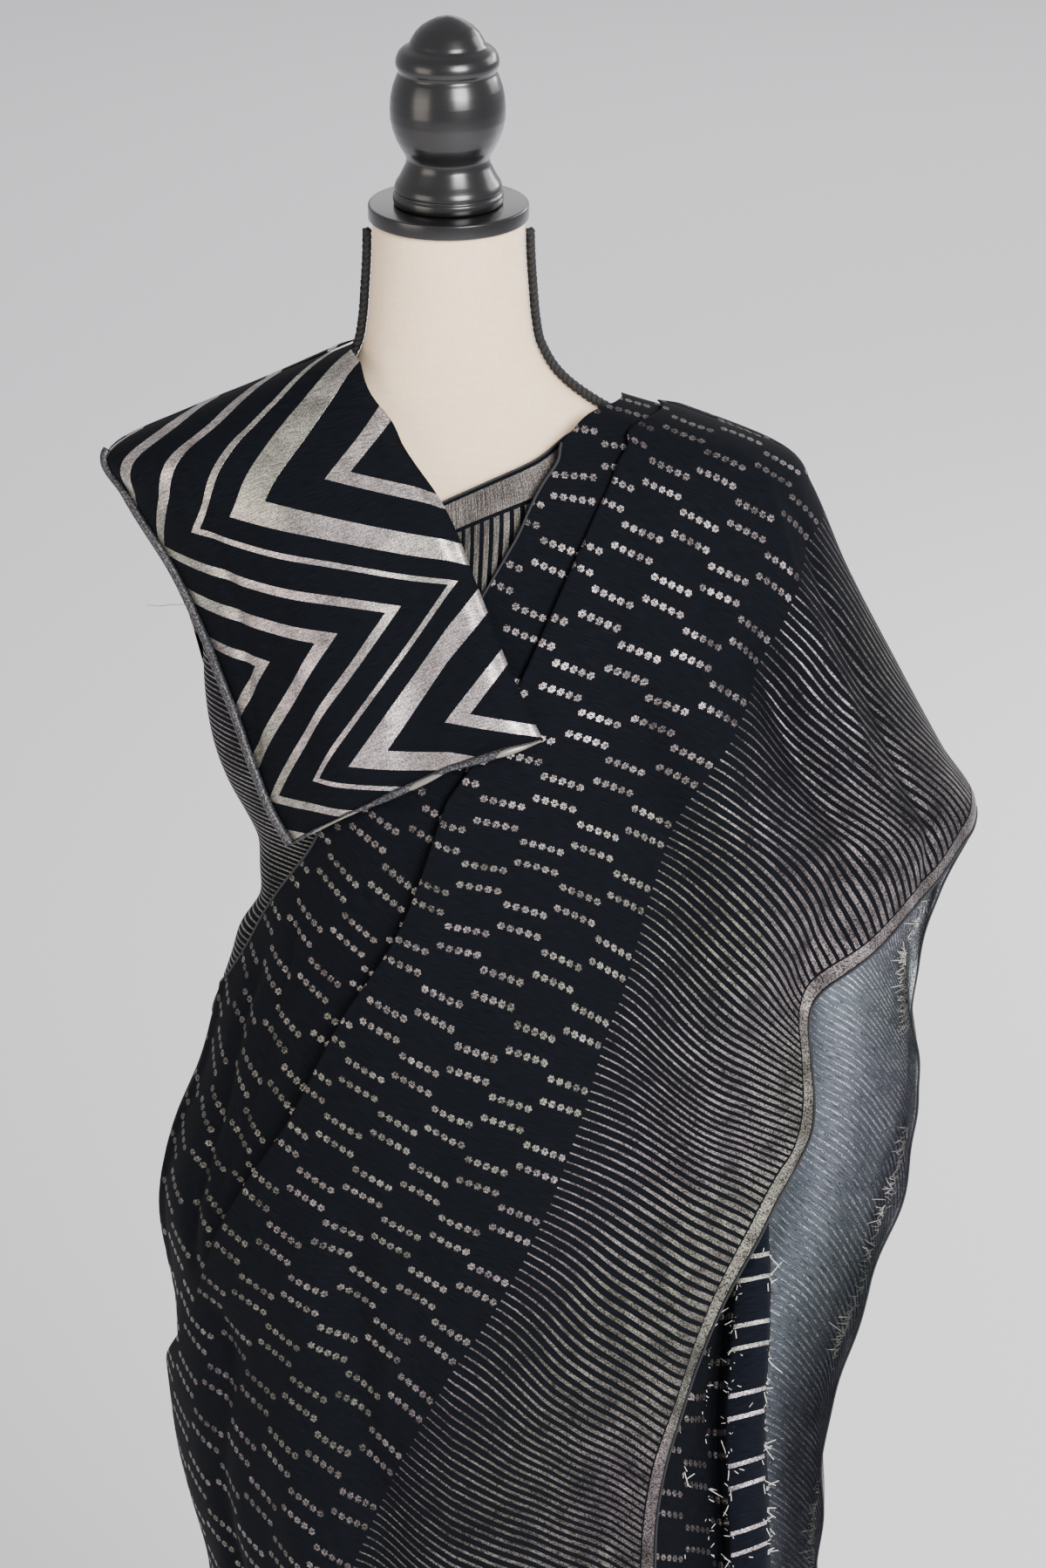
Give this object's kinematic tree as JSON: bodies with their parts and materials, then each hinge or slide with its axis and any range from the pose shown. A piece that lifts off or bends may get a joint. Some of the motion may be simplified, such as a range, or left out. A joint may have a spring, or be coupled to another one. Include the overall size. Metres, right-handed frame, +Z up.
{
  "type": "saree on a dress form",
  "caption": "Dark silk-look saree with metallic woven motifs, worn over one shoulder of a limbless linen dress form with a turned neck finial, pole and round base.",
  "frame": {"origin": "centre of the round base's underside, on the floor under the pole", "axes": "+Z up through the pole to the finial; -Y is the form's front; +X is the side of the shoulder that the loose end falls from"},
  "size_m": [0.584, 0.3768, 1.6517],
  "materials": {
    "linen": "undyed linen with a slubbed plain weave",
    "black_wood": "satin black lacquer",
    "black_cord": "matt braided cord",
    "spotted_weave": "fine navy-black cloth with woven silver spots and a striped metallic border",
    "striped_weave": "navy-black cloth with close metallic stripes",
    "zigzag_weave": "navy-black cloth with broad metallic zigzags",
    "weave_reverse": "greyer reverse of the metallic weave with clipped thread ends"
  },
  "bodies": {
    "root": {"form_body": "linen", "neck_disc": "black_wood", "finial": "black_wood", "piping_right": "black_cord", "piping_left": "black_cord", "stand_base": "black_wood", "stand_pole": "black_wood", "chest_front": "striped_weave", "chest_wrap": "striped_weave", "skirt_wrap": "spotted_weave", "skirt_pleats": "spotted_weave", "pallu_front": "spotted_weave", "pallu_inner_pleat": "spotted_weave", "pallu_back": "weave_reverse", "shoulder_front": "zigzag_weave", "shoulder_back": "zigzag_weave", "loose_fold": "weave_reverse"}
  },
  "joints": []
}
